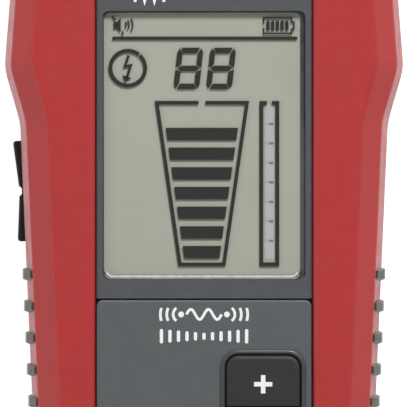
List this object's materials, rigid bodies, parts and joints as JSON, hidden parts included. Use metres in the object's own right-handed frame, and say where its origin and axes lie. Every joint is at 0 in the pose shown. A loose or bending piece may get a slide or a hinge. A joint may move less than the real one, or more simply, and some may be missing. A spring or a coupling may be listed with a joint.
{
  "type": "circuit breaker finder",
  "caption": "Hand-held receiver of a breaker finder: two-part shell, display in a dark bezel, push keys, side rocker, ribbed grips, sensing tip and battery bay.",
  "frame": {"origin": "middle of the whole outline in plan, on the flat back", "axes": "+X to the right of the display, +Y along the body towards the sensing tip, +Z out of the display"},
  "size_m": [0.075, 0.183, 0.043],
  "materials": {
    "red_shell": "fine satin grain",
    "dark_shell": "fine grain",
    "bezel_plastic": "fine grain",
    "plate_plastic": "fine grain",
    "key_rubber": "satin silicone",
    "grip_rubber": "matt thermoplastic rubber",
    "seal_rubber": "matt",
    "lens": "clear, polished",
    "lcd": "reflective grey-green display",
    "white_plastic": "satin",
    "elastomer": "matt",
    "board": "solder mask",
    "chip": "moulded",
    "steel": "zinc plated",
    "spring_steel": "nickel plated",
    "brass": "turned",
    "ferrite": "sintered",
    "copper_wire": "enamelled wire",
    "wire": "insulated",
    "cell": "printed sleeve on a metal can",
    "speaker_metal": "painted basket and magnet",
    "foam": "foam"
  },
  "bodies": {
    "housing": {"front_housing": "red_shell", "rear_housing": "dark_shell", "housing_gasket": "seal_rubber", "left_side_grip": "grip_rubber", "right_side_grip": "grip_rubber", "housing_screws": "steel", "brass_inserts": "brass", "face_bezel": "bezel_plastic", "display_window": "lens", "lcd_glass": "lcd", "lcd_frame": "white_plastic", "backlight_diffuser": "white_plastic", "lcd_connector": "elastomer", "keypad_plate": "plate_plastic", "key_surrounds": "key_rubber", "keypad_membrane": "elastomer", "dome_switches": "spring_steel", "rocker_pin": "steel", "side_board": "board", "rocker_switches": "chip", "main_board": "board", "circuit_chips": "chip", "board_screws": "steel", "speaker": "speaker_metal", "speaker_gasket": "foam", "speaker_leads": "wire", "tip_housing": "dark_shell", "ferrite_rod": "ferrite", "coil_bobbin": "white_plastic", "sense_coil": "copper_wire", "coil_leads": "wire", "battery_springs": "spring_steel", "battery_contacts": "spring_steel", "battery_cell_1": "cell", "battery_cell_2": "cell", "battery_cell_3": "cell", "battery_cell_4": "cell"},
    "plus_button": {"plus_button": "key_rubber"},
    "minus_button": {"minus_button": "key_rubber"},
    "mode_button": {"mode_button": "key_rubber"},
    "power_button": {"power_button": "key_rubber"},
    "volume_rocker": {"volume_rocker": "key_rubber"},
    "battery_door": {"battery_door": "dark_shell", "door_gasket": "seal_rubber"},
    "door_screw_upper": {"door_screw_upper": "steel"},
    "door_screw_lower": {"door_screw_lower": "steel"}
  },
  "joints": [
    {"name": "plus_press", "type": "slide", "parent": "housing", "child": "plus_button", "axis": [0, 0, -1], "range_m": [0, 0.0008], "stiffness_N_per_m": 1200},
    {"name": "minus_press", "type": "slide", "parent": "housing", "child": "minus_button", "axis": [0, 0, -1], "range_m": [0, 0.0008], "stiffness_N_per_m": 1200},
    {"name": "mode_press", "type": "slide", "parent": "housing", "child": "mode_button", "axis": [0, 0, -1], "range_m": [0, 0.0008], "stiffness_N_per_m": 1200},
    {"name": "power_press", "type": "slide", "parent": "housing", "child": "power_button", "axis": [0, 0, -1], "range_m": [0, 0.0008], "stiffness_N_per_m": 1200},
    {"name": "volume_rock", "type": "hinge", "parent": "housing", "child": "volume_rocker", "pos_m": [-0.03249, 0.00917, 0.0227], "axis": [0, 0, 1], "range_deg": [-3.5, 3.5], "stiffness_Nm_per_rad": 0.4},
    {"name": "door_off", "type": "slide", "parent": "housing", "child": "battery_door", "axis": [0, 0, -1], "range_m": [0, 0.03]},
    {"name": "upper_screw_turn", "type": "hinge", "parent": "battery_door", "child": "door_screw_upper", "pos_m": [0, -0.0204, 0.001], "axis": [0, 0, 1], "continuous": true},
    {"name": "lower_screw_turn", "type": "hinge", "parent": "battery_door", "child": "door_screw_lower", "pos_m": [0, -0.0806, 0.001], "axis": [0, 0, 1], "continuous": true}
  ]
}
